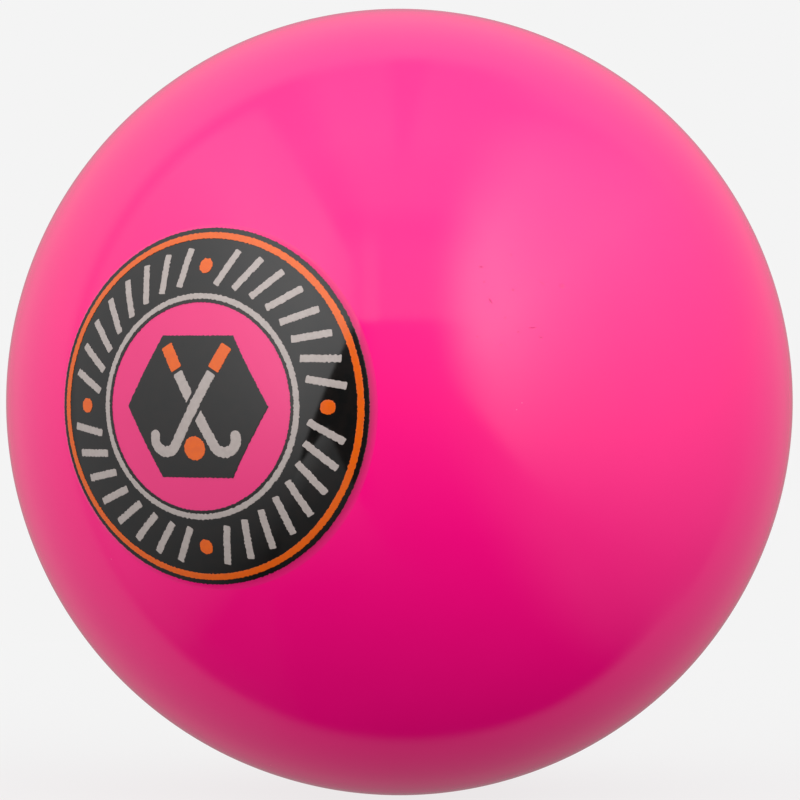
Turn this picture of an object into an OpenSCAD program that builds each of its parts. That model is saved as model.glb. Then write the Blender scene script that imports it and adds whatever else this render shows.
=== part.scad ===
// Field hockey ball: one smooth moulded sphere with a round printed transfer badge on its side.
// The origin is the ball's centre, +Z is up, and the badge faces -Y with its top towards +Z.
// The badge is a clear carrier film on the ball, black ink on the film, and orange and silver
// ink on the black. Its shapes are drawn flat, as seen from the front, and then laid on the ball.

/* [Ball] */
// Diameter of the moulded ball
ball_d = 73; // [71.3:0.1:74.8]

/* [Film and ink] */
// Thickness of the clear carrier film
film_t = 0.06; // [0.04:0.01:0.12]
// Thickness of each layer of ink
ink_t = 0.04; // [0.03:0.01:0.08]
// How far the film shows past the black, all round
film_margin = 0.4; // [0.25:0.05:0.8]
// How far the film lies to the right of the print
film_right = 0.2; // [0:0.05:0.2]
// How far the film lies below the print
film_down = 0.1; // [0:0.05:0.15]

/* [Badge rings] */
// Diameter of the black field, straight across
badge_d = 31.3; // [30:0.1:34]
// Black left outside the orange ring
rim_w = 0.4; // [0.3:0.1:1]
// Width of the orange ring
orange_ring_w = 0.55; // [0.4:0.05:1]
// Diameter of the window that shows the ball through the black
window_d = 18.2; // [17:0.1:18.8]
// Black left between the window and the silver ring
window_edge_w = 0.3; // [0.2:0.1:0.6]
// Width of the silver ring
silver_ring_w = 0.5; // [0.3:0.1:0.8]

/* [Band of marks] */
// Silver bars between one orange dot and the next
bars_in_group = 8; // [4:1:9]
// Orange dots round the band
dots = 4; // [3:1:4]
// Black left between a bar's corners and the rings on either side
bar_gap = 0.65; // [0.5:0.05:1.2]
// Width of a bar
bar_w = 0.65; // [0.5:0.05:0.9]
// Slant of a bar away from the spoke it stands on, in degrees
bar_slant = 20; // [0:1:30]
// Diameter of an orange dot
dot_d = 1.3; // [0.9:0.1:1.6]

/* [Crest] */
// Black hexagon in the window, from flat to flat
crest_w = 12.4; // [12:0.1:13.4]
// Black left between the crest's edge and the marks on it
crest_margin = 0.6; // [0.4:0.1:0.8]
// Width of a stick's shaft and head
stick_w = 0.95; // [0.7:0.05:1.1]
// Lean of each stick away from upright, in degrees
stick_lean = 30; // [28:1:32]
// Radius of the middle of a stick's hooked head
hook_r = 1.15; // [1:0.05:1.3]
// Turn of a stick's hooked head, in degrees
hook_turn = 165; // [140:5:180]
// Length of an orange grip
grip_l = 2.4; // [1.6:0.1:3]
// How much wider a grip is than its shaft
grip_extra = 0.2; // [0.1:0.05:0.3]
// Black left between neighbouring marks on the crest
mark_gap = 0.3; // [0.2:0.05:0.4]
// Diameter of the orange ball on the crest
crest_ball_d = 2.1; // [1.6:0.1:2.4]

/* [Hidden] */
$fn = 96;

ball_r = ball_d / 2;
film_top = ball_r + film_t;
black_top = film_top + ink_t;

black_r = badge_d / 2;
orange_ring_r = black_r - rim_w;
band_outer_r = orange_ring_r - orange_ring_w;
window_r = window_d / 2;
silver_ring_r = window_r + window_edge_w + silver_ring_w;
band_r = (band_outer_r + silver_ring_r) / 2;
band_w = band_outer_r - silver_ring_r;
bar_l = (band_w - 2 * bar_gap - bar_w * sin(bar_slant)) / cos(bar_slant);
marks = dots * (bars_in_group + 1);

hex_sides = 6;
arc_steps = 16;
hook_outer_r = hook_r + stick_w / 2;
hook_inner_r = hook_r - stick_w / 2;
// The sticks cross at the crest's centre. Their tops stop a margin below the crest's top edge,
// and their heads a margin inside its slanting lower edge, which faces 30 degrees below level.
marks_reach = crest_w / 2 - crest_margin;
lower_edge_tilt = 30;
shaft_up = (marks_reach - (stick_w + grip_extra) / 2 * sin(stick_lean)) / cos(stick_lean);
shaft_down = (marks_reach - hook_outer_r - hook_r * cos(stick_lean + lower_edge_tilt))
    / sin(stick_lean + lower_edge_tilt);
crest_ball_drop = ((crest_ball_d + stick_w) / 2 + mark_gap) / sin(stick_lean);

// Points on an arc about a centre, from one angle to another
function arc(centre, radius, from, to) = [
    for (i = [0 : arc_steps])
        let (a = from + (to - from) * i / arc_steps)
        centre + radius * [cos(a), sin(a)]
];

// Lays the flat shape on the ball's front as a skin that starts at radius under
module laid_on(under, thickness) {
    intersection() {
        difference() {
            sphere(r = under + thickness);
            sphere(r = under);
        }
        rotate([90, 0, 0])
            linear_extrude(height = ball_d)
                children();
    }
}

module ring(outer_r, width) {
    difference() {
        circle(r = outer_r);
        circle(r = outer_r - width);
    }
}

// Places the shape at one mark's place in the band, counted clockwise from the top
module at_mark(i) {
    rotate(-360 * i / marks)
        translate([0, band_r])
            children();
}

module crest_outline() {
    circle(d = crest_w / cos(180 / hex_sides), $fn = hex_sides);
}

// One stick's outline, upright, with its shaft on the Y axis and its head hooked towards -X
module stick() {
    hook_centre = [-hook_r, -shaft_down];
    toe = hook_centre + hook_r * [cos(hook_turn), -sin(hook_turn)];
    shaft_top = shaft_up - grip_l - mark_gap;
    polygon(concat(
        [[stick_w / 2, shaft_top], [-stick_w / 2, shaft_top]],
        arc(hook_centre, hook_inner_r, 0, -hook_turn),
        arc(toe, stick_w / 2, 180 - hook_turn, 360 - hook_turn),
        arc(hook_centre, hook_outer_r, -hook_turn, 0)
    ));
}

module grip() {
    translate([-(stick_w + grip_extra) / 2, shaft_up - grip_l])
        square([stick_w + grip_extra, grip_l]);
}

// The front stick leans right and the rear one left, cut short of it on both sides
module crossed_sticks() {
    rotate(-stick_lean) stick();
    difference() {
        mirror([1, 0]) rotate(-stick_lean) stick();
        rotate(-stick_lean)
            square([stick_w + 2 * mark_gap, crest_w], center = true);
    }
}

module ball() {
    color([0.97, 0.05, 0.50])
        sphere(r = ball_r);
}

module badge_film() {
    color([1.00, 0.20, 0.58])
        laid_on(ball_r, film_t)
            translate([film_right, -film_down])
                circle(r = black_r + film_margin);
}

module black_ink() {
    color([0.07, 0.07, 0.07])
        laid_on(film_top, ink_t) {
            ring(black_r, black_r - window_r);
            crest_outline();
        }
}

module orange_ink() {
    color([0.95, 0.42, 0.06])
        laid_on(black_top, ink_t) {
            ring(orange_ring_r, orange_ring_w);
            for (i = [0 : bars_in_group + 1 : marks - 1])
                at_mark(i) circle(d = dot_d);
            rotate(-stick_lean) grip();
            mirror([1, 0]) rotate(-stick_lean) grip();
            translate([0, -crest_ball_drop]) circle(d = crest_ball_d);
        }
}

module silver_ink() {
    color([0.68, 0.66, 0.63])
        laid_on(black_top, ink_t) {
            ring(silver_ring_r, silver_ring_w);
            for (i = [0 : marks - 1])
                if (i % (bars_in_group + 1) != 0)
                    at_mark(i) rotate(-bar_slant) square([bar_w, bar_l], center = true);
            crossed_sticks();
        }
}

ball();
badge_film();
black_ink();
orange_ink();
silver_ink();
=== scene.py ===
# %% [markdown]
# A field hockey ball
#
# The object is one smooth ball of bright pink plastic, 73 mm across. A round badge sits on its
# side. The badge is a transfer: a clear film with layers of black, orange and silver ink on it.
#
# The CAD model is loaded first, as a fixed frame. Every piece made here stands for one of its
# nodes, at the same place and size, and adds what the plain solid lacks: a truly round surface,
# soft edges on the ink, and a finish that takes the light as the real one does.

import bmesh
import bpy
import numpy as np
from mathutils import Matrix, Vector


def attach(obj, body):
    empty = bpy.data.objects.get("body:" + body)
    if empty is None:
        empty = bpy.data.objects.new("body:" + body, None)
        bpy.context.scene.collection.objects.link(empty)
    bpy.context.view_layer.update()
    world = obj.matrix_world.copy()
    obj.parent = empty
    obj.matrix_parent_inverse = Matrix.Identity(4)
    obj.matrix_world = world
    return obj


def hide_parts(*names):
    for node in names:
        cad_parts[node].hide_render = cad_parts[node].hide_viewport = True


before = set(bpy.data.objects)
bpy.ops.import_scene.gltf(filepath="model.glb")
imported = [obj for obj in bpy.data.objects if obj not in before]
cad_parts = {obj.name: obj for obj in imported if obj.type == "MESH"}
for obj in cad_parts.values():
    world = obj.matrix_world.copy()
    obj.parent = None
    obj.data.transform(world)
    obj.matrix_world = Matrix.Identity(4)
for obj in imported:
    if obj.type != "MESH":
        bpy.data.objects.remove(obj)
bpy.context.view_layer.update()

# %% [markdown]
# The camera
#
# A camera can be placed by eye, or worked out from the picture. Here it is worked out. The ball's
# outline is a circle, so its radius in pixels and the camera's distance give the lens. The badge is
# as wide against its height as it would be when turned 29 degrees away, so the camera stands
# that far round the ball. A long lens half a metre away shows nearly half of the ball.

# %% The camera
# Here and below, a length is in mm and a camera's angle in degrees, unless its name says otherwise
PICTURE_PX = 800
OUTLINE_R_PX = 393.3
OUTLINE_MIDDLE_PX = (399.4, 402.0)
SENSOR_MM = 36.0
BALL_R = 36.5
CAMERA_AWAY = 500.0
CAMERA_ROUND = 29.35
CAMERA_UP = 0.72
MM = 0.001

azimuth, elevation = np.radians([CAMERA_ROUND, CAMERA_UP])
level_way = np.array([np.sin(azimuth), -np.cos(azimuth), 0.0])
to_front = level_way * np.cos(elevation) + np.array([0.0, 0.0, np.sin(elevation)])
to_right = np.array([np.cos(azimuth), np.sin(azimuth), 0.0])
to_up = np.cross(to_front, to_right)
focal_px = OUTLINE_R_PX * np.sqrt((CAMERA_AWAY / BALL_R) ** 2 - 1)

camera = bpy.data.objects.new("camera", bpy.data.cameras.new("camera"))
camera.data.sensor_width = SENSOR_MM
camera.data.lens = focal_px * SENSOR_MM / PICTURE_PX
camera.data.shift_x = (PICTURE_PX / 2 - OUTLINE_MIDDLE_PX[0]) / PICTURE_PX
camera.data.shift_y = (OUTLINE_MIDDLE_PX[1] - PICTURE_PX / 2) / PICTURE_PX
turn = Matrix(np.stack([to_right, to_up, to_front], 1).tolist()).to_4x4()
camera.matrix_world = Matrix.Translation((to_front * CAMERA_AWAY * MM).tolist()) @ turn
bpy.context.scene.collection.objects.link(camera)
bpy.context.scene.camera = camera
bpy.context.scene.view_settings.view_transform = "Standard"
print("lens, mm:", round(camera.data.lens, 1))

# %% [markdown]
# Two helpers for shaders
#
# Colours are picked on a screen as sRGB hex codes, but a shader works in linear light, so one
# function turns the first into the second. The other adds a node: a value that comes out of another
# node is linked, and a plain value is set on the socket.

# %% Colours and nodes
def linear(code):
    """An sRGB hex colour as linear red, green, blue and alpha. Each channel c becomes c / 12.92 in
    the darkest tones, and otherwise ((c + 0.055) / 1.055) to the power 2.4."""
    srgb = np.array([int(code[i:i + 2], 16) for i in (1, 3, 5)]) / 255
    rgb = np.where(srgb <= 0.04045, srgb / 12.92, ((srgb + 0.055) / 1.055) ** 2.4)
    return (*rgb.tolist(), 1.0)


def add(tree, kind, output, sockets, **settings):
    """Adds a node of that kind, sets it up, fills its sockets, and gives back one of its outputs."""
    new = tree.nodes.new("ShaderNode" + kind)
    for name, value in settings.items():
        setattr(new, name, value)
    for name, value in sockets.items():
        if isinstance(value, bpy.types.NodeSocket):
            tree.links.new(value, new.inputs[name])
        else:
            new.inputs[name].default_value = value
    return new.outputs[output] if output is not None else new


BACKDROP = linear("#F4F4F4")
print("backdrop, linear:", round(BACKDROP[0], 4))

# %% [markdown]
# The light
#
# A glossy ball is a mirror, so it shows the whole room. A product like this is photographed in a
# light tent: white walls on the left and right, a white roof, a sheet behind, and a dark opening in
# front, where the camera looks in. Each wall could be a lamp, but a lamp glows evenly all over. The
# world's own shader can draw each wall with straight edges and a fade along it.
#
# A direction in the tent has three readings: r to the right, u up, and f towards the front. A wall's
# edge is where some mix of r, u and f passes one value: the line is straight where that value is
# zero, and bends slightly where it isn't. The walls are laid over one another like sheets of paper,
# from the first row of the table, which is the dim room beyond the tent, to the last, which is the
# sheet behind the ball. The small rows are a flap and a sheet that hang in the opening, the cloth
# above it with a brighter strip, and a fold in the roof.

# %% The tent's walls
# Each edge: how much of r, u and f, and the readings between which the wall fades in.
# Each fade: what it is read against, from where to where, and the light at both ends.
WALLS = {
    "beyond": dict(
        edges=[((1, 0, 0), -0.20, -0.10)],
        fades=[("u", -0.62, 0.30, 0.0, 1.0), ("u", 0.0, 0.30, 0.28, 0.38)],
    ),
    "opening": dict(
        edges=[((0.38, 0.40, 0.16), 0.03, 0.44), ((0.09, -0.18, 1.20), 0.60, 0.88)],
        fades=[("u", -1, 1, 0.35, 0.60)],
    ),
    "hanging_sheet": dict(
        edges=[((0.752, -0.626, 0.205), -0.005, 0.012), ((-0.868, -0.339, -0.363), -0.01, 0.02)],
        fades=[((0.752, -0.626, 0.205), 0.02, 0.085, 0.90, 0.43),
               ((0.752, -0.626, 0.205), 0.085, 0.50, 1.0, 0.30), ("u", -0.80, -0.30, 0.0, 1.0)],
    ),
    "flap": dict(
        edges=[((0.80, 0.25, 0.13), 0.19, 0.60)],
        fades=[("u", -1, 1, 0.48, 0.60)],
    ),
    "front": dict(
        edges=[((0, 1, -0.43), -0.03, 0.03)],
        fades=[("u", -1, 1, 1.14, 1.22), ("r", -0.18, -0.10, 1.10, 1.0)],
    ),
    "front_strip": dict(
        edges=[((0, 1, -0.43), -0.03, 0.03), ((1, 0, 0), -0.182, -0.160), ((-1, 0, 0), 0.085, 0.110)],
        fades=[("u", -1, 1, 1.54, 1.56)],
    ),
    "roof": dict(
        edges=[((0, 1.01, -1.28), -0.27, 0.17)],
        fades=[("f", -0.39, 0.12, 0.81, 1.51), ((0, 1.00, -1.40), -0.18, 0.15, 0.70, 0.98),
               ((1.00, 0.45, -0.07), 0.12, 0.22, 0.79, 0.98), ("r", -0.30, 0.39, 1.06, 0.86)],
    ),
    "roof_fold": dict(
        edges=[((1.00, -0.01, -0.01), -0.06, 0.00), ((-1.00, 0.03, -0.06), -0.06, 0.00),
               ((0, 0, -1), -0.45, -0.20), ((0, 1, -1.40), 0.10, 0.30)],
        fades=[("f", -0.41, 0.24, 0.62, 1.28)],
    ),
    "left": dict(
        edges=[((-0.911, -0.403, 0.085), -0.03, 0.03), ((-0.98, -0.01, -0.17), 0.03, 0.12),
               ((-0.854, 0.383, -0.351), -0.01, 0.015)],
        fades=[("u / side", -1.22, 1.20, 0.03, 2.12), ("f / side", -0.65, 1.81, 0.45, 1.345),
               ("f", -0.36, -0.28, 0.66, 0.99), ((-0.83, -0.37, -0.37), -0.275, 0.112, 0.64, 1.115)],
    ),
    "right": dict(
        edges=[((0.97, -0.53, -0.05), -0.32, 0.04), ((0.91, 0.16, -0.28), -0.08, 0.21),
               ((0.96, 1.02, -0.38), -0.14, 0.03), ((0.79, 1.01, 0.01), -0.34, 0.23)],
        fades=[("u / side", -0.98, 0.81, 0.08, 3.15), ("f / side", -0.62, 1.47, 0.33, 0.99),
               ("f", -0.45, 0.09, 0.85, 1.02)],
    ),
    "behind": dict(
        edges=[((-0.08, -0.03, -1.0), 0.39, 0.505)],
        fades=[("u", -0.95, 0.63, 0.21, 0.96), ("f", -0.92, -0.30, 0.58, 1.04), ("r", -1, 1, 1.13, 0.885),
               ("f", -1.0, -0.86, 0.74, 1.0), ("u", -0.45, 0.10, 0.90, 1.0)],
    ),
}
print("walls:", ", ".join(WALLS))

# %% [markdown]
# Readings of a direction
#
# In the world's shader, Generated coordinates are the direction that a ray looks in. A dot product
# with a plane's three numbers gives how far the direction lies to one side of that plane. A wall's
# glow often changes along its own height or depth, and there the reading is u or f over how
# far the direction points sideways, because that is a place on an upright wall.

# %% Readings of a direction
LEAST_SIDEWAYS = 0.001

world = bpy.data.worlds.new("light_tent")
bpy.context.scene.world = world
world.use_nodes = True
tree = world.node_tree
tree.nodes.clear()
way = add(tree, "TexCoord", "Generated", {})


def read(plane):
    """The reading of so much of r, u and f: the dot product of the direction with their mix."""
    mix = plane[0] * to_right + plane[1] * to_up + plane[2] * to_front
    return add(tree, "VectorMath", "Value", {0: way, 1: mix.tolist()}, operation="DOT_PRODUCT")


readings = {"r": read((1, 0, 0)), "u": read((0, 1, 0)), "f": read((0, 0, 1))}
sideways = add(tree, "Math", "Value", {0: readings["r"]}, operation="ABSOLUTE")
sideways = add(tree, "Math", "Value", {0: sideways, 1: LEAST_SIDEWAYS}, operation="MAXIMUM")
for name in ("u", "f"):
    readings[name + " / side"] = add(tree, "Math", "Value", {0: readings[name], 1: sideways},
                                     operation="DIVIDE")
print("readings:", ", ".join(readings))

# %% [markdown]
# The walls over one another
#
# A wall's cover is the product of its edges, and its light is the product of its fades. Where it
# covers, its light takes the place of what was there before.

# %% The walls over one another
# In a Mix node, socket 0 is the share. Two numbers go in at 2 and 3 and come out at 0, and two
# colours go in at 6 and 7 and come out at 2.
tent = 0.0
for wall in WALLS.values():
    cover = light = 1.0
    for plane, out, inside in wall["edges"]:
        edge = add(tree, "MapRange", "Result", {"Value": read(plane), "From Min": out, "From Max": inside},
                   interpolation_type="SMOOTHSTEP")
        cover = add(tree, "Math", "Value", {0: cover, 1: edge}, operation="MULTIPLY")
    for against, start, stop, low, high in wall["fades"]:
        reading = readings[against] if against in readings else read(against)
        fade = add(tree, "MapRange", "Result", {"Value": reading, "From Min": start, "From Max": stop,
                                                "To Min": low, "To Max": high})
        light = add(tree, "Math", "Value", {0: light, 1: fade}, operation="MULTIPLY")
    tent = add(tree, "Mix", 0, {0: cover, 2: tent, 3: light}, data_type="FLOAT")
print("wall nodes:", len(tree.nodes))

# %% [markdown]
# What the camera sees
#
# The camera itself sees only the plain backdrop, and the tent is what the ball sees. Light Path says
# which of the two is asking. The white cloth is neutral, but at its far end, behind the ball, it
# takes some pink light from the ball itself. Only the ball's rim mirrors that end.

# %% What the camera sees
PINKED_CLOTH = (1.8, 1.0, 1.05, 1.0)
PINKED_FROM, PINKED_FULLY = -0.70, -0.95
# Straight above and below the ball the cloth takes less of the pink than at its sides
SHARE_ABOVE, SIDES_FROM = 0.25, 0.3

far_end = add(tree, "MapRange", "Result", {"Value": readings["f"], "From Min": PINKED_FROM,
                                           "From Max": PINKED_FULLY})
aside = add(tree, "MapRange", "Result", {"Value": sideways, "From Max": SIDES_FROM,
                                         "To Min": SHARE_ABOVE})
pinked = add(tree, "Math", "Value", {0: far_end, 1: aside}, operation="MULTIPLY")
cloth = add(tree, "Mix", 2, {0: pinked, 6: (1, 1, 1, 1), 7: PINKED_CLOTH}, data_type="RGBA")
tent_light = add(tree, "Background", "Background", {"Color": cloth, "Strength": tent})
backdrop = add(tree, "Background", "Background", {"Color": BACKDROP, "Strength": 1.0})
seen = add(tree, "LightPath", "Is Camera Ray", {})
shown = add(tree, "MixShader", "Shader", {0: seen, 1: tent_light, 2: backdrop})
add(tree, "OutputWorld", None, {"Surface": shown})
print("world nodes:", len(tree.nodes))

# %% [markdown]
# The hidden lamps
#
# A little soft light also comes up from the white table under the ball, from where the table meets
# the sheet behind it on the left, and in through the opening. Three wide round lamps give it. The
# ball's mirror image shows that the table right under it is dark, so the lamps are left out of
# reflections, and only the colours of the plastic and the inks take their light.

# %% The hidden lamps
# Each lamp: its place in metres and the way it shines, both to the right, up and to the front, its
# width in metres, and its watts
GLOWS = {
    "table_glow": dict(place=(-0.60, -0.08, -0.34), shines=(0.0, 1.0, 0.0), width=2.2, watts=1.6),
    "corner_glow": dict(place=(-0.48, -0.52, -0.38), shines=(0.48, 0.52, 0.38), width=0.6, watts=1.4),
    "opening_glow": dict(place=(0.0, -0.25, 0.60), shines=(0.0, 0.25, -0.60), width=0.8, watts=0.30),
}
level_axes = np.stack([to_right, np.array([0.0, 0.0, 1.0]), level_way])

for name, lamp in GLOWS.items():
    glow = bpy.data.objects.new(name, bpy.data.lights.new(name, "AREA"))
    glow.data.shape = "DISK"
    glow.data.size = lamp["width"]
    glow.data.energy = lamp["watts"]
    glow.visible_camera = glow.visible_glossy = False
    backwards = Vector((-(lamp["shines"] @ level_axes)).tolist())
    turn = backwards.to_track_quat("Z", "Y").to_matrix().to_4x4()
    glow.matrix_world = Matrix.Translation((lamp["place"] @ level_axes).tolist()) @ turn
    bpy.context.scene.collection.objects.link(glow)
    print(name, "at, m:", (lamp["place"] @ level_axes).round(2).tolist())

# %% [markdown]
# The floor
#
# The ball rests on a pale floor of the backdrop's own colour, so the two run into one another. The
# floor's white is set so that it renders like the backdrop under this light. Most of its
# brightness near the ball is its own, which keeps the ball's shadow as faint as a white tent makes
# it, and far from the ball all of it is. It is hidden from the ball, whose light from below is in
# the world already, and it is clear from underneath, so that the ball can be looked at from there.

# %% The floor
FLOOR_REACH = 4000.0
FLOOR_WHITE = 0.675
SHADOW_SHARE = 0.12
SHADOW_FADE_M = (0.08, 0.25)

corners = np.array([(-1, -1, 0), (1, -1, 0), (1, 1, 0), (-1, 1, 0)]) * FLOOR_REACH
corners[:, 2] = -BALL_R
floor_mesh = bpy.data.meshes.new("floor")
floor_mesh.from_pydata((corners * MM).tolist(), [], [(0, 1, 2, 3)])
floor = bpy.data.objects.new("floor", floor_mesh)
bpy.context.scene.collection.objects.link(floor)
for rays in ("diffuse", "glossy", "transmission", "shadow"):
    setattr(floor, "visible_" + rays, False)

paper = bpy.data.materials.new("white_paper")
paper.use_nodes = True
tree = paper.node_tree
tree.nodes.clear()
place = add(tree, "TexCoord", "Object", {})
from_ball = add(tree, "VectorMath", "Value", {0: place}, operation="LENGTH")
near = add(tree, "MapRange", "Result", {"Value": from_ball, "From Min": SHADOW_FADE_M[0],
                                        "From Max": SHADOW_FADE_M[1],
                                        "To Min": SHADOW_SHARE, "To Max": 0.0},
           interpolation_type="SMOOTHSTEP")
lit = add(tree, "BsdfDiffuse", "BSDF", {"Color": (FLOOR_WHITE, FLOOR_WHITE, FLOOR_WHITE, 1)})
own = add(tree, "Emission", "Emission", {"Color": BACKDROP, "Strength": 1.0})
top = add(tree, "MixShader", "Shader", {0: near, 1: own, 2: lit})
under = add(tree, "NewGeometry", "Backfacing", {})
clear = add(tree, "BsdfTransparent", "BSDF", {})
shown = add(tree, "MixShader", "Shader", {0: under, 1: top, 2: clear})
add(tree, "OutputMaterial", None, {"Surface": shown})
floor_mesh.materials.append(paper)
print("floor at z, mm:", -BALL_R)

# %% [markdown]
# Grids of points
#
# Every piece is a surface: a formula gives a point for each pair of two numbers, and a grid of such
# pairs gives a grid of points. Neighbouring points make a face. Where a surface closes on itself,
# such as at a seam, at the middle of a disc, or at the rim where the top of the ink meets its
# underside, rows of points lie on each other, and merging them closes the mesh.

# %% From grids to a piece
MERGE_MM = 0.0001
SHARP_EDGE = np.radians(50)


def make_piece(name, grids, node):
    """One mesh from grids of points in mm, each of shape (rows, columns, 3). The point at row i and
    column j makes a face with its neighbours at i + 1 and j + 1."""
    points = np.concatenate([grid.reshape(-1, 3) for grid in grids])
    faces, start = [], 0
    for grid in grids:
        index = start + np.arange(grid[..., 0].size).reshape(grid.shape[:2])
        quads = np.stack([index[:-1, :-1], index[1:, :-1], index[1:, 1:], index[:-1, 1:]], -1)
        faces.append(quads.reshape(-1, 4))
        start += index.size
    mesh = bpy.data.meshes.new(name)
    mesh.from_pydata((points * MM).tolist(), [], np.concatenate(faces).tolist())
    shell = bmesh.new()
    shell.from_mesh(mesh)
    bmesh.ops.remove_doubles(shell, verts=shell.verts, dist=MERGE_MM * MM)
    bmesh.ops.recalc_face_normals(shell, faces=shell.faces)
    open_edges = sum(not edge.is_manifold for edge in shell.edges)
    shell.to_mesh(mesh)
    shell.free()
    mesh.shade_smooth()
    mesh.set_sharp_from_angle(angle=SHARP_EDGE)
    piece = bpy.data.objects.new(name, mesh)
    bpy.context.scene.collection.objects.link(piece)
    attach(piece, "root")
    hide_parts(node)
    mesh.calc_loop_triangles()
    print(name, "triangles:", len(mesh.loop_triangles), "open edges:", open_edges)
    return piece


print("points closer than", MERGE_MM, "mm become one")

# %% [markdown]
# The ball
#
# A moulded ball is never perfectly round, and it is the mirror image that shows it: the straight
# edges of the tent bend slightly where the plastic shrank unevenly as it cooled. So the surface has
# slow waves a few thousandths of a millimetre high, too low to see in its outline.
#
# A sphere of longitude and latitude has two poles, where faces crowd and a gloss pinches. A cube
# blown up into a sphere has none: six square grids, spaced evenly by angle, meet at their edges.

# %% The ball
WAVES = 14
WAVE_MM = (9.0, 24.0)
WAVE_HEIGHT = 0.0012
BALL_STEPS = 112
SEED = 73

rng = np.random.default_rng(SEED)
wave_ways = rng.normal(size=(WAVES, 3))
wave_ways /= np.linalg.norm(wave_ways, axis=1, keepdims=True)
wave_ways *= 2 * np.pi / rng.uniform(*WAVE_MM, size=(WAVES, 1))
wave_starts = rng.uniform(0, 2 * np.pi, WAVES)


def with_waves(points):
    """The points moved out from the centre by the sum of the waves there. A wave's height is a sine
    of how far along its own way a point lies."""
    height = WAVE_HEIGHT * np.sin(points @ wave_ways.T + wave_starts).sum(-1, keepdims=True)
    return points * (1 + height / np.linalg.norm(points, axis=-1, keepdims=True))


spacing = np.tan(np.linspace(-np.pi / 4, np.pi / 4, BALL_STEPS + 1))
across_x, across_z = np.meshgrid(spacing, spacing, indexing="ij")
side = np.stack([across_x, -np.ones_like(across_x), across_z], -1)
side *= BALL_R / np.linalg.norm(side, axis=-1, keepdims=True)
x, y, z = np.moveaxis(side, -1, 0)
sides = [side, np.stack([-y, x, z], -1), np.stack([-x, -y, z], -1), np.stack([y, -x, z], -1),
         np.stack([x, z, -y], -1), np.stack([x, -z, y], -1)]
ball = make_piece("ball", [with_waves(grid) for grid in sides], "ball")

# %% [markdown]
# Film and ink
#
# The badge's layers are drawn flat, as seen from the front, and laid on the ball. A real layer of
# ink is thinner than a hair and ends in a soft shoulder, not in a cut wall, because the wet ink
# draws in at its rim. So a layer is a skin: its underside lies on what is below, and its top rises
# on a quarter circle at the rim and then runs level.

# %% A skin on the ball
# The film and the ink are as thick as in the CAD model, two or three times a real transfer's
FILM_T = 0.06
INK_T = 0.04
SHOULDER = 0.02
RIM_STEPS = np.array([0.0, 0.1, 0.3, 0.6, 1.0, 2.0])
GRID_MM = 0.8


def on_ball(x, z, height):
    """A flat place, x to the right and z up, laid on the ball that much above its surface. The
    point's y is minus the square root of radius squared less x squared less z squared."""
    radius = BALL_R + height
    y = -np.sqrt(radius ** 2 - x ** 2 - z ** 2)
    return with_waves(np.stack(np.broadcast_arrays(x, y, z), -1))


def skin(x, z, rim, under, thickness):
    """The top and underside over one flat grid. rim is how far each point lies in from the outline,
    and the top's height there is thickness times the square root of 1 - (1 - rim / shoulder)^2."""
    rise = np.sqrt(1 - (1 - np.clip(rim / SHOULDER, 0, 1)) ** 2)
    return [on_ball(x, z, under + thickness * rise), on_ball(x, z, under + 0 * rise)]


def across(half):
    """Shares of a half width, from -1 at one rim to 1 at the other: close together on the shoulders
    and about a grid's step apart between them."""
    near_rim = 1 - SHOULDER * RIM_STEPS / half
    level = np.linspace(-near_rim[-1], near_rim[-1], 3 + int(2 * half / GRID_MM))
    return np.concatenate([-near_rim[:-1], level, near_rim[-2::-1]])


print("shares across a 0.5 mm ring:", across(0.25).round(2).tolist())

# %% [markdown]
# Printed edges
#
# A printed edge is never quite clean: the ink spreads a little into the film and its rim wanders.
# The wandering is a sum of fine ripples over the flat drawing, so each bar gets its own.

# %% Printed edges
RIPPLES = 20
RIPPLE_MM = (0.16, 0.5)

ripple_turns = rng.uniform(0, 2 * np.pi, RIPPLES)
ripple_rates = 2 * np.pi / rng.uniform(*RIPPLE_MM, RIPPLES)
ripple_starts = rng.uniform(0, 2 * np.pi, RIPPLES)


def ragged(x, z):
    """How far a printed edge wanders at a flat place, mostly from -1 to 1: the sum of the ripples
    there, each a sine along its own way, over the square root of their number."""
    x, z = np.broadcast_arrays(x, z)
    way = x[..., None] * np.cos(ripple_turns) + z[..., None] * np.sin(ripple_turns)
    return np.sin(way * ripple_rates + ripple_starts).sum(-1) / np.sqrt(RIPPLES)


print("ripple at the badge's middle:", round(float(ragged(0.0, 0.0)), 2))

# %% [markdown]
# Rings and discs
#
# Two kinds of shape are round. A ring is a strip bent round a circle. A disc runs out from its
# middle to an outline, which may also have flat sides.

# %% Rings and discs
# How many steps each outline takes round its middle, each about 0.06 mm long
STEPS = dict(black=1500, crest=720, orange=1600, crest_ball=120, dot=72, silver=1100)
LEAST_SHARE = 0.01


def ring(middle_r, width, steps, stray, under, thickness):
    """At turn t and share s, the radius is middle_r + s (width / 2 + what the edge wanders), and the
    flat place is radius times (cos t, sin t)."""
    t = np.linspace(0, 2 * np.pi, steps + 1)[:, None]
    s = across(width / 2)[None, :]
    edge_r = middle_r + np.sign(s) * width / 2
    r = middle_r + s * (width / 2 + stray * ragged(edge_r * np.cos(t), edge_r * np.sin(t)))
    return skin(r * np.cos(t), r * np.sin(t), width / 2 * (1 - np.abs(s)) + 0 * t, under, thickness)


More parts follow.
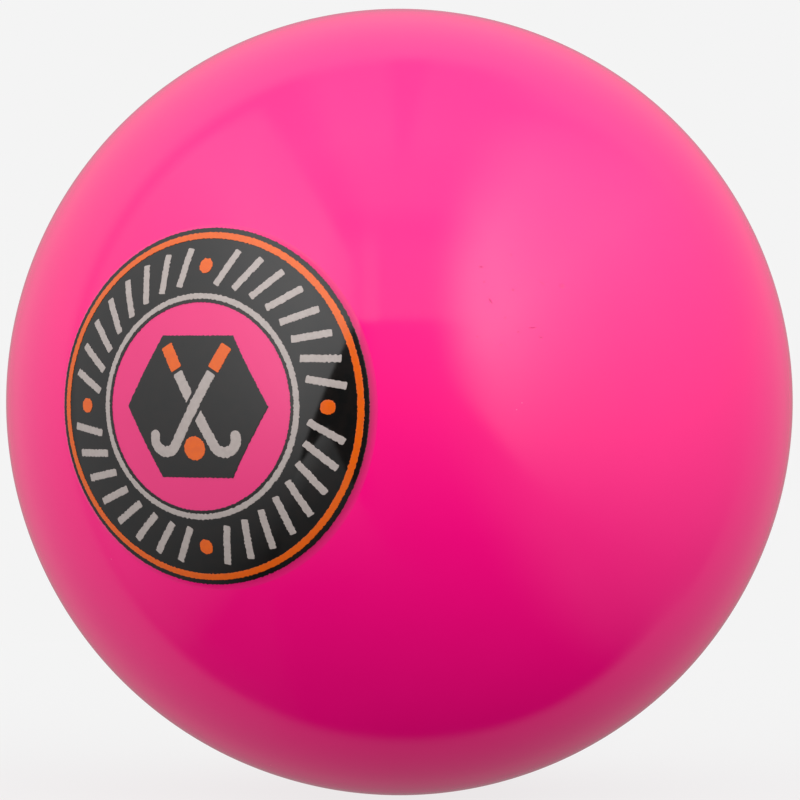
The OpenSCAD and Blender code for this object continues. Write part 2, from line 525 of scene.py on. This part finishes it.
def disc(middle, inner_r, sides, steps, stray, under, thickness):
    """At turn t and share s, the flat place is the middle plus s times the outline's radius times
    (cos t, sin t). The outline is a circle, or a polygon whose flats are inner_r away, whose radius
    is inner_r / cos(angle from the middle of the nearest flat)."""
    t = np.linspace(0, 2 * np.pi, steps + 1)[:, None]
    s = across(inner_r)
    s = np.concatenate([[0.0], s[s > LEAST_SHARE]])[None, :]
    flat = np.mod(t, 2 * np.pi / sides) - np.pi / sides if sides else 0 * t
    outline = inner_r / np.cos(flat)
    x, z = middle[0] + outline * np.cos(t), middle[1] + outline * np.sin(t)
    reach = s * (outline + stray * ragged(x, z))
    return skin(middle[0] + reach * np.cos(t), middle[1] + reach * np.sin(t), inner_r * (1 - s) + 0 * t,
                under, thickness)


small_disc = disc((0.0, 0.0), 0.65, 0, STEPS["dot"], 0.0, 0.0, INK_T)
print("points in a small disc:", small_disc[0].shape[:2])

# %% [markdown]
# The clear film
#
# The film is a little wider than the print and was laid on a little off its middle, so a narrow
# strip of it shows beside the black, broader on the right and below. It has no shoulder: beside the
# black the wet lacquer sinks down in a hollow curve and thins out to nothing at its rim.

# %% The clear film
BADGE_R = 15.65
FILM_MARGIN = 0.4
FILM_MIDDLE = (0.2, -0.1)
FILM_STRAY = 0.008
FILM_TURNS = 480
STRIP_FROM = 0.96
LEVEL_STEPS, STRIP_STEPS = 19, 16

# At turn t and share s, the flat place is the middle plus s times the film's radius. Out from the
# black's edge, the height is the film's thickness times (distance from the rim / strip's width)^2.
film_r = BADGE_R + FILM_MARGIN
t = np.linspace(0, 2 * np.pi, FILM_TURNS + 1)[:, None]
s = np.concatenate([np.linspace(0, STRIP_FROM, LEVEL_STEPS + 1)[:-1],
                    np.linspace(STRIP_FROM, 1, STRIP_STEPS + 1)])[None, :]
strip_w = FILM_MARGIN + FILM_MIDDLE[0] * np.cos(t) + FILM_MIDDLE[1] * np.sin(t)
height = FILM_T * np.clip(film_r * (1 - s) / strip_w, 0, 1) ** 2
reach = s * (film_r + FILM_STRAY * ragged(film_r * np.cos(t), film_r * np.sin(t)))
x, z = FILM_MIDDLE[0] + reach * np.cos(t), FILM_MIDDLE[1] + reach * np.sin(t)
film_grids = [on_ball(x, z, height), on_ball(x, z, 0 * height)]
film = make_piece("badge_film", film_grids, "badge_film")

# %% [markdown]
# The black ink
#
# Black is printed first, as a broad ring with a window in it, and as a six-sided field in the
# window. The pink of the ball shows through the film between the two.

# %% The black ink
WINDOW_R = 9.1
CREST_FLAT = 6.2
CREST_SIDES = 6
BLACK_STRAY = 0.024

black_grids = ring((BADGE_R + WINDOW_R) / 2, BADGE_R - WINDOW_R, STEPS["black"], BLACK_STRAY, FILM_T, INK_T)
black_grids += disc((0.0, 0.0), CREST_FLAT, CREST_SIDES, STEPS["crest"], BLACK_STRAY, FILM_T, INK_T)
black = make_piece("black_ink", black_grids, "black_ink")

# %% [markdown]
# Strokes
#
# A bar, a stick and its grip are all strips of one width along a path. The path gives a place and
# the way across it for each distance along it. The half width shrinks on a circle near an end,
# a little for a softened corner, or all the way for a round toe. Where a stick passes behind
# the other, its end is cut on the slant.

# %% Strokes
STATION_MM = 0.07
CORNER_STEPS = 9


def stroke(path, length, width, corners, put, skews, stray, under, thickness):
    """At distance d along the path and share s across it, the flat place is the path's place plus
    s times the half width along the path's way across. Within a corner's radius c of an end, the
    half width is less by c - sqrt(c^2 - (c - distance from the end)^2). skews slides the ends by
    that much of the way across, and put lays the upright drawing at its place in the badge."""
    quarter = 1 - np.cos(np.linspace(0, np.pi / 2, CORNER_STEPS))
    ends = [np.union1d(SHOULDER * RIM_STEPS, corner * quarter) for corner in corners]
    between = np.linspace(ends[0][-1], length - ends[1][-1], 2 + int(length / STATION_MM))[1:-1]
    d = np.concatenate([ends[0], between, length - ends[1][::-1]])[:, None]
    from_end = np.stack([d, length - d])
    corner = np.array(corners)[:, None, None]
    short = np.clip(corner - from_end, 0, None)
    half = width / 2 - (corner - np.sqrt(corner ** 2 - short ** 2)).sum(0)
    s = across(width / 2)[None, :]
    along = d + s * half * (skews[0] + (skews[1] - skews[0]) * d / length)
    x, z, way_x, way_z = path(along)
    edge = np.sign(s) * half
    wander = stray * ragged(*put(x + edge * way_x, z + edge * way_z)) * 2 * half / width
    reach = s * (half + wander)
    rim = np.minimum(half * (1 - np.abs(s)), from_end.min(0))
    return skin(*put(x + reach * way_x, z + reach * way_z), rim, under, thickness)


def straight(d):
    """A path straight down from the top: the place is (0, -d), and the way across is (1, 0)."""
    return 0 * d, -d, 1 + 0 * d, 0 * d


def laid(clockwise, x_by=0.0, z_by=0.0, mirror=1):
    """A function that turns an upright drawing clockwise after moving it, and may mirror it."""
    c, s = np.cos(clockwise), np.sin(clockwise)
    return lambda x, z: (mirror * ((x + x_by) * c + (z + z_by) * s), (z + z_by) * c - (x + x_by) * s)


short_bar = stroke(straight, 2.0, 0.5, (0.1, 0.1), laid(0.0), (0, 0), 0.0, 0.0, INK_T)
print("points in a short bar:", short_bar[0].shape[:2])

# %% [markdown]
# The orange ink
#
# Orange lies on the black: a thin ring near its edge, four dots that part the bars, the grips
# of the two sticks, and the ball between their heads.

# %% The orange ink
ORANGE_RING = (14.975, 0.55)
BAND_R = 12.3
PLACES = 36
PLACES_TO_DOT = 9
DOT_R = 0.65
LEAN = np.radians(30)
GRIP = dict(top=6.134, length=2.4, width=1.15, corner=0.14)
CREST_BALL = (0.0, -3.65)
CREST_BALL_R = 1.05
ORANGE_STRAY = 0.028
ON_BLACK = FILM_T + INK_T

orange_layer = (ORANGE_STRAY, ON_BLACK, INK_T)
orange_grids = ring(*ORANGE_RING, STEPS["orange"], *orange_layer)
orange_grids += disc(CREST_BALL, CREST_BALL_R, 0, STEPS["crest_ball"], *orange_layer)
for place in range(0, PLACES, PLACES_TO_DOT):
    turned = 2 * np.pi * place / PLACES
    dot = (BAND_R * np.sin(turned), BAND_R * np.cos(turned))
    orange_grids += disc(dot, DOT_R, 0, STEPS["dot"], *orange_layer)
for mirror in (1, -1):
    put = laid(LEAN, z_by=GRIP["top"], mirror=mirror)
    orange_grids += stroke(straight, GRIP["length"], GRIP["width"], (GRIP["corner"],) * 2, put, (0, 0),
                           *orange_layer)
orange = make_piece("orange_ink", orange_grids, "orange_ink")

# %% [markdown]
# The silver ink
#
# Silver lies on the black too: a ring round the window, the slanted bars, and the two crossed
# sticks. A stick's path runs straight down its shaft and then round the hook of its head.

# %% The silver ink
SILVER_RING = (9.65, 0.5)
BAR = dict(length=3.488, width=0.65, slant=np.radians(20), corner=0.12)
STICK = dict(top=3.434, shaft=7.36, width=0.95, hook_r=1.15, hook=np.radians(165), corner=0.12)
CUT_FROM_MIDDLE = 0.895
SILVER_STRAY = 0.034


def stick_path(d):
    """Down the shaft for its length, then round a circle of the hook's radius through the hook's
    angle, then straight on. After a turn of t, the way along is (-sin t, -cos t), and the way across
    is (cos t, -sin t)."""
    t = np.clip((d - STICK["shaft"]) / STICK["hook_r"], 0, STICK["hook"])
    beyond = np.clip(d - STICK["shaft"] - STICK["hook_r"] * STICK["hook"], 0, None)
    x = STICK["hook_r"] * (np.cos(t) - 1) - beyond * np.sin(t)
    z = STICK["top"] - np.minimum(d, STICK["shaft"]) - STICK["hook_r"] * np.sin(t) - beyond * np.cos(t)
    return x, z, np.cos(t), -np.sin(t)


silver_layer = (SILVER_STRAY, ON_BLACK, INK_T)
silver_grids = ring(*SILVER_RING, STEPS["silver"], *silver_layer)
for place in range(PLACES):
    if place % PLACES_TO_DOT:
        turned = 2 * np.pi * place / PLACES
        swing = laid(BAR["slant"], z_by=BAR["length"] / 2)
        spot = laid(turned, z_by=BAND_R)
        silver_grids += stroke(straight, BAR["length"], BAR["width"], (BAR["corner"],) * 2,
                               lambda x, z: spot(*swing(x, z)), (0, 0), *silver_layer)
print("bars:", PLACES - PLACES // PLACES_TO_DOT)

# %% [markdown]
# The sticks
#
# The front stick is one stroke. The rear stick is two: one ends and the other starts a
# little short of the front stick, on a slant along it.

# %% The sticks
stick_l = STICK["shaft"] + STICK["hook_r"] * STICK["hook"] + STICK["width"] / 2
toe, corner = STICK["width"] / 2, STICK["corner"]
slant = 1 / np.tan(2 * LEAN)
cut_end = STICK["top"] - CUT_FROM_MIDDLE
cut_start = STICK["top"] + CUT_FROM_MIDDLE

silver_grids += stroke(stick_path, stick_l, STICK["width"], (corner, toe), laid(LEAN),
                       (0, 0), *silver_layer)
silver_grids += stroke(stick_path, cut_end, STICK["width"], (corner, corner), laid(LEAN, mirror=-1),
                       (0, slant), *silver_layer)
silver_grids += stroke(lambda d: stick_path(d + cut_start), stick_l - cut_start, STICK["width"],
                       (corner, toe), laid(LEAN, mirror=-1), (slant, 0), *silver_layer)
silver = make_piece("silver_ink", silver_grids, "silver_ink")

# %% [markdown]
# Marks on the ball
#
# A ball that has been handled is never perfect: it has tiny pits and short hairlines. Each is
# placed by where it is in the picture. A ray from the camera through that pixel first meets the
# ball at one point, and there an ellipsoid a fraction of a millimetre wide marks the surface.

# %% From a pixel to the ball
def seen_at(px, py):
    """The point on the ball at a pixel, in mm. The ray runs from the camera along the way w, and
    meets the ball where distance d solves |camera + d w| = radius, taking the nearer answer."""
    right_px, up_px = px - OUTLINE_MIDDLE_PX[0], OUTLINE_MIDDLE_PX[1] - py
    ray = (right_px * to_right + up_px * to_up) / focal_px - to_front
    ray /= np.linalg.norm(ray)
    start = to_front * CAMERA_AWAY
    b = ray @ start
    return start + (-b - np.sqrt(b * b - start @ start + BALL_R ** 2)) * ray


# Each mark: its pixel, its half length and half width in mm, its turn from level in degrees, and
# its depth as a share of the deepest
NICKS = [
    (481, 267, 0.22, 0.11, 0, 1.0), (484, 282, 0.15, 0.12, 70, 0.5), (511, 255, 0.20, 0.09, 90, 0.5),
    (513, 290, 0.16, 0.14, 0, 0.8), (490.5, 301, 0.36, 0.10, 125, 1.0), (562, 286, 0.38, 0.34, 0, 0.4),
    (542, 283, 0.50, 0.09, 150, 0.4), (532.5, 328, 0.44, 0.09, 4, 0.9), (518, 332, 0.14, 0.12, 40, 0.7),
    (541, 337.5, 0.20, 0.10, 0, 0.8), (505, 318, 0.20, 0.10, 60, 0.4), (477, 337, 0.16, 0.12, 0, 0.4),
    (501, 345, 0.22, 0.10, 20, 0.4),
]
print("first nick at, mm:", seen_at(*NICKS[0][:2]).round(2).tolist())

# %% [markdown]
# Starting a material
#
# Each pattern in a finish has a real size, so every material works on the piece's own coordinates
# in millimetres: a noise whose grains are 4 mm across has a scale of 1/4.

# %% Starting a material
PLASTIC_IOR = 1.5


def new_material(name):
    """An empty material, and the piece's own coordinates in mm to draw its patterns on."""
    material = bpy.data.materials.new(name)
    material.use_nodes = True
    material.node_tree.nodes.clear()
    place = add(material.node_tree, "TexCoord", "Object", {})
    mm = add(material.node_tree, "VectorMath", "Vector", {0: place, "Scale": 1 / MM}, operation="SCALE")
    return material, material.node_tree, mm


pvc, tree, mm = new_material("glossy_pink_pvc")
print("started:", pvc.name)

# %% [markdown]
# The pink plastic
#
# The ball is PVC, moulded in a polished steel tool and dyed right through. The tool's polish gives
# a nearly clear mirror over a strong, even pink: the colour comes from below the surface, and the
# gloss on top stays white. The dye is mixed in as a paste, so the pink drifts a little over
# centimetres.

# %% The pink
CLOUD_MM = 11.0

clouds = add(tree, "TexNoise", "Fac", {"Vector": mm, "Scale": 1 / CLOUD_MM, "Detail": 2.0})
colour = add(tree, "Mix", 2, {0: clouds, 6: linear("#FB0A81"), 7: linear("#F7087D")}, data_type="RGBA")
print("pink nodes:", len(tree.nodes))

# %% [markdown]
# Nicks
#
# A nick shows as a dark dot or dash in the mirror image, because its sides lean and mirror a
# darker part of the room. So a nick is a dent, and a little rough, and its pink is painted darker
# there as painted shade in the dent. Each one is drawn by moving the coordinates to its place,
# turning them with the surface, and dividing them by its size, so that it ends where their
# length is one.

# %% Nicks
NICK_RIM = 0.3
NICK_ROUGH = 0.25
NICK_DEPTH_M = 2.1e-5

nick_dents_and_shade = 0.0
for px, py, half_l, half_w, turned, depth in NICKS:
    point = seen_at(px, py)
    outward = point / np.linalg.norm(point)
    level = to_right - (to_right @ outward) * outward
    level /= np.linalg.norm(level)
    along = np.cos(np.radians(turned)) * level + np.sin(np.radians(turned)) * np.cross(outward, level)
    axes = Matrix(np.stack([along, np.cross(outward, along), outward], 1).tolist())
    inside = add(tree, "Mapping", "Vector", {"Vector": mm, "Location": point.tolist(),
                                             "Rotation": axes.to_euler(),
                                             "Scale": (half_l, half_w, half_w)}, vector_type="TEXTURE")
    far = add(tree, "VectorMath", "Value", {0: inside}, operation="LENGTH")
    nick = add(tree, "MapRange", "Result", {"Value": far, "From Min": NICK_RIM, "From Max": 1.0,
                                            "To Min": depth, "To Max": 0.0},
               interpolation_type="SMOOTHSTEP")
    nick_dents_and_shade = add(tree, "Math", "Value", {0: nick_dents_and_shade, 1: nick}, operation="MAXIMUM")
# Inside each nick the pink is darkened to #CC0B69: painted shade in the dent, beside its real dent and
# roughness
colour = add(tree, "Mix", 2, {0: nick_dents_and_shade, 6: colour, 7: linear("#CC0B69")}, data_type="RGBA")
print("nicks:", len(NICKS))

# %% [markdown]
# Dust, smears and peel
#
# Dust lies in single specks, each in its own cell of a Voronoi pattern. Handling leaves faint
# smears, where the mirror is a little softer. And the skin has a slight orange peel, which makes
# the edges in the mirror image tremble.

# %% Dust, smears and peel
DUST_MM = 5.5
DUST_REACH = (0.008, 0.016)
DUST_SHOWS = 0.2
SMEAR_MM = (5.0, 5.0, 14.0)
SMEAR_TURN = (0.5, 0.2, 0.4)
SMEARED_AT = (0.4, 0.75)
GLOSS_TO_SMEAR = (0.075, 0.12)
PEEL_MM = 1.8
PEEL_HEIGHT_M = 1.1e-6

grain = add(tree, "TexVoronoi", "Distance", {"Vector": mm, "Scale": 1 / DUST_MM})
dust = add(tree, "MapRange", "Result", {"Value": grain, "From Min": DUST_REACH[0],
                                        "From Max": DUST_REACH[1], "To Min": DUST_SHOWS, "To Max": 0.0})
colour = add(tree, "Mix", 2, {0: dust, 6: colour, 7: linear("#FF8FC0")}, data_type="RGBA")

wiped = add(tree, "Mapping", "Vector", {"Vector": mm, "Rotation": SMEAR_TURN, "Scale": SMEAR_MM},
            vector_type="TEXTURE")
smears = add(tree, "TexNoise", "Fac", {"Vector": wiped, "Scale": 1.0, "Detail": 3.0, "Roughness": 0.6})
rough = add(tree, "MapRange", "Result", {"Value": smears, "From Min": SMEARED_AT[0],
                                         "From Max": SMEARED_AT[1],
                                         "To Min": GLOSS_TO_SMEAR[0], "To Max": GLOSS_TO_SMEAR[1]})
rough = add(tree, "Math", "Value", {0: rough, 1: dust}, operation="ADD")
rough = add(tree, "Mix", 0, {0: nick_dents_and_shade, 2: rough, 3: NICK_ROUGH}, data_type="FLOAT")

peel = add(tree, "TexNoise", "Fac", {"Vector": mm, "Scale": 1 / PEEL_MM, "Detail": 1.0})
bumps = add(tree, "Bump", "Normal", {"Height": peel, "Distance": PEEL_HEIGHT_M})
bumps = add(tree, "Bump", "Normal", {"Height": nick_dents_and_shade, "Distance": NICK_DEPTH_M, "Normal": bumps},
            invert=True)
shader = add(tree, "BsdfPrincipled", "BSDF", {"Base Color": colour, "Roughness": rough, "IOR": PLASTIC_IOR,
                                              "Normal": bumps})
add(tree, "OutputMaterial", None, {"Surface": shader})
ball.data.materials.append(pvc)
print("pink nodes:", len(tree.nodes))

# %% [markdown]
# The film's lacquer
#
# The film is a clear lacquer. Over the ball it looks pink, but duller than bare plastic, because it
# scatters and swallows a little light. Beside the print, on the right and below, a strip of the film
# shows, thickest next to the black and thinning out towards its own rim. Next to the black its pink
# is painted darker, as painted shade beside the print, and it pales outwards.

# %% The film's lacquer
LACQUER_PATCH_MM = 4.0
LACQUER_PATCHY_AT = (0.3, 0.7)
LACQUER_ROUGH = (0.05, 0.075)
LACQUER_PEEL_MM = 1.4
LACQUER_PEEL_HEIGHT_M = 0.8e-6
# From where to where the strip's painted shade beside the black pales outwards and dulls to the
# right, and how far the strip runs in under the black
STRIP_SHADE_MM = (15.65, 16.3)
STRIP_SIDE_MM = (0.0, 16.0)
STRIP_UNDER_MM = 0.5

lacquer, tree, mm = new_material("clear_transfer_lacquer")
patches = add(tree, "TexNoise", "Fac", {"Vector": mm, "Scale": 1 / LACQUER_PATCH_MM, "Detail": 2.0})
colour = add(tree, "Mix", 2, {0: patches, 6: linear("#E6327B"), 7: linear("#E12F76")}, data_type="RGBA")

flat = add(tree, "VectorMath", "Vector", {0: mm, 1: (1, 0, 1)}, operation="MULTIPLY")
from_middle = add(tree, "VectorMath", "Value", {0: flat}, operation="LENGTH")
outward = add(tree, "MapRange", "Result", {"Value": from_middle, "From Min": STRIP_SHADE_MM[0],
                                           "From Max": STRIP_SHADE_MM[1]})
# Next to the black the strip is painted dark, #B42B5B, as painted shade beside the print, paling to #F41C7E
# outwards
strip = add(tree, "Mix", 2, {0: outward, 6: linear("#B42B5B"), 7: linear("#F41C7E")}, data_type="RGBA")
rightwards = add(tree, "VectorMath", "Value", {0: mm, 1: (1, 0, -0.1)}, operation="DOT_PRODUCT")
dull = add(tree, "MapRange", "Result", {"Value": rightwards, "From Min": STRIP_SIDE_MM[0],
                                        "From Max": STRIP_SIDE_MM[1]})
strip = add(tree, "Mix", 2, {0: dull, 6: linear("#F21A7C"), 7: strip}, data_type="RGBA")
beside = add(tree, "Math", "Value", {0: from_middle, 1: BADGE_R - STRIP_UNDER_MM},
             operation="GREATER_THAN")
colour = add(tree, "Mix", 2, {0: beside, 6: colour, 7: strip}, data_type="RGBA")

rough = add(tree, "MapRange", "Result", {"Value": patches, "From Min": LACQUER_PATCHY_AT[0],
                                         "From Max": LACQUER_PATCHY_AT[1],
                                         "To Min": LACQUER_ROUGH[0], "To Max": LACQUER_ROUGH[1]})
peel = add(tree, "TexNoise", "Fac", {"Vector": mm, "Scale": 1 / LACQUER_PEEL_MM, "Detail": 1.0})
bumps = add(tree, "Bump", "Normal", {"Height": peel, "Distance": LACQUER_PEEL_HEIGHT_M})
shader = add(tree, "BsdfPrincipled", "BSDF", {"Base Color": colour, "Roughness": rough, "IOR": PLASTIC_IOR,
                                              "Normal": bumps})
add(tree, "OutputMaterial", None, {"Surface": shader})
film.data.materials.append(lacquer)
print("lacquer nodes:", len(tree.nodes))

# %% [markdown]
# The inks
#
# The three inks are screen inks, which lie thick and glossy. They differ only in colour, in how big
# the patches are where they lie thinner, and in how smooth they dried, so one table and one loop
# make them.

# %% The inks
PATCHY_AT = (0.35, 0.65)
# Each row: the piece, its colours where thick and thin, the size of its patches in mm, its
# roughness from patch to patch, and the height in metres and width in mm of its peel
INKS = {
    "black_screen_ink": dict(
        piece=black, thick="#121212", thin="#181514", patch=0.8, rough=(0.035, 0.055), peel=0.8e-6,
        peel_mm=1.2),
    "orange_screen_ink": dict(
        piece=orange, thick="#DF5F0A", thin="#D95A12", patch=0.5, rough=(0.12, 0.17), peel=0.7e-6,
        peel_mm=0.9),
    "silver_screen_ink": dict(
        piece=silver, thick="#AEA39F", thin="#A79C98", patch=0.4, rough=(0.14, 0.20), peel=0.8e-6,
        peel_mm=0.9),
}
for name, ink in INKS.items():
    material, tree, mm = new_material(name)
    patches = add(tree, "TexNoise", "Fac", {"Vector": mm, "Scale": 1 / ink["patch"], "Detail": 3.0})
    share = add(tree, "MapRange", "Result", {"Value": patches, "From Min": PATCHY_AT[0],
                                             "From Max": PATCHY_AT[1]})
    colour = add(tree, "Mix", 2, {0: share, 6: linear(ink["thick"]), 7: linear(ink["thin"])},
                 data_type="RGBA")
    rough = add(tree, "MapRange", "Result", {"Value": share, "To Min": ink["rough"][0],
                                             "To Max": ink["rough"][1]})
    peel = add(tree, "TexNoise", "Fac", {"Vector": mm, "Scale": 1 / ink["peel_mm"], "Detail": 1.0})
    bumps = add(tree, "Bump", "Normal", {"Height": peel, "Distance": ink["peel"]})
    shader = add(tree, "BsdfPrincipled", "BSDF", {"Base Color": colour, "Roughness": rough,
                                                  "IOR": PLASTIC_IOR, "Normal": bumps})
    add(tree, "OutputMaterial", None, {"Surface": shader})
    ink["piece"].data.materials.append(material)
    print(name, "on", ink["piece"].name)
